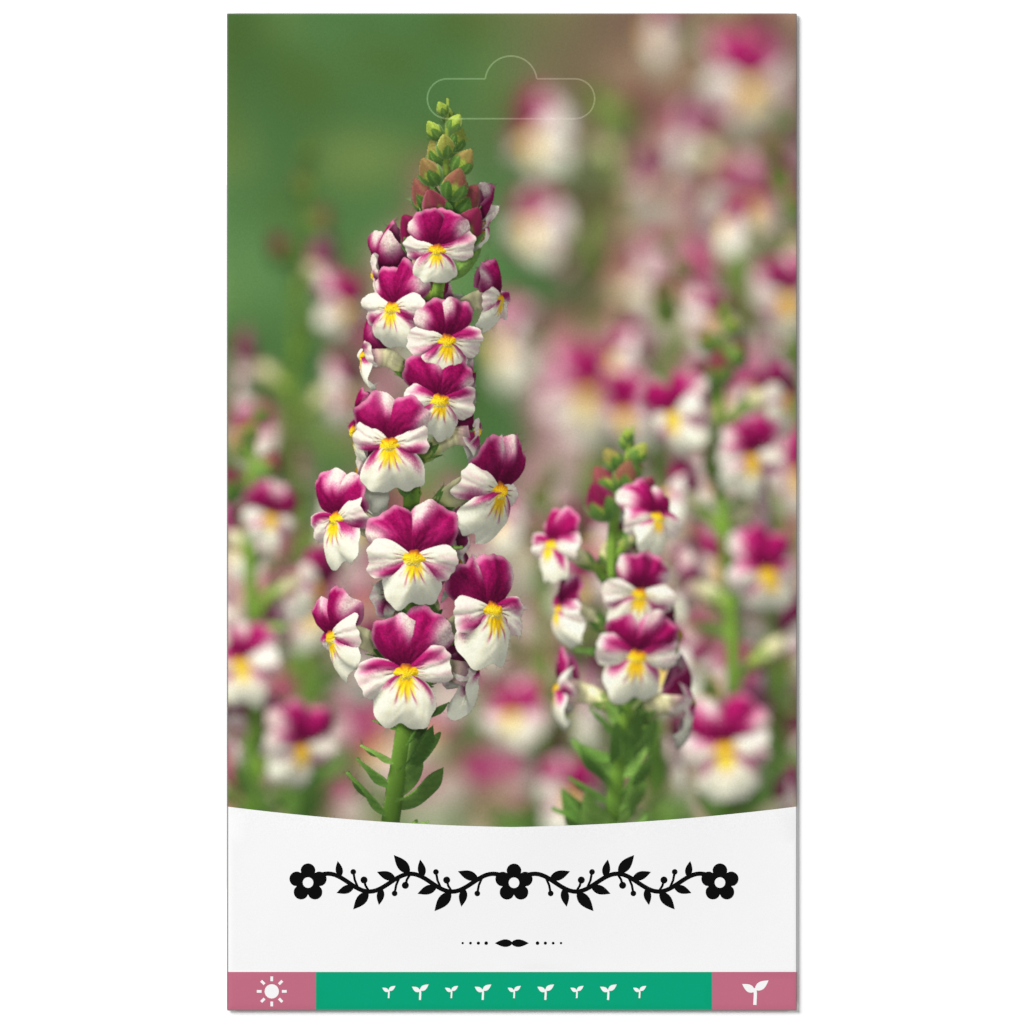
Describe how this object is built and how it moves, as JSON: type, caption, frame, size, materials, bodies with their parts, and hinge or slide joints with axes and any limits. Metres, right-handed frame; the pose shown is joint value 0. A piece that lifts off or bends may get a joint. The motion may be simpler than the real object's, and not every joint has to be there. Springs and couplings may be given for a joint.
{
  "type": "seed packet",
  "caption": "Flat printed paper packet of garden seeds: a sealed folded envelope with a crowned front, a perforated hanging tab and a small sachet of seeds inside.",
  "frame": {"origin": "under the middle of the packet, on the surface it lies on", "axes": "+X across the packet to the right as its front is read, +Y up the front towards the hanging tab, +Z out of the printed front"},
  "size_m": [0.08, 0.14, 0.0019],
  "materials": {
    "printed_paper": "satin coated, printed",
    "adhesive": "dried glue",
    "glassine": "smooth, slightly glossy",
    "seed": "rough, matt"
  },
  "bodies": {
    "root": {"envelope_blank": "printed_paper", "top_flap_glue": "adhesive", "bottom_flap_glue": "adhesive", "side_flap_glue": "adhesive", "sachet_back": "glassine", "sachet_front": "glassine", "seeds": "seed"}
  },
  "joints": []
}
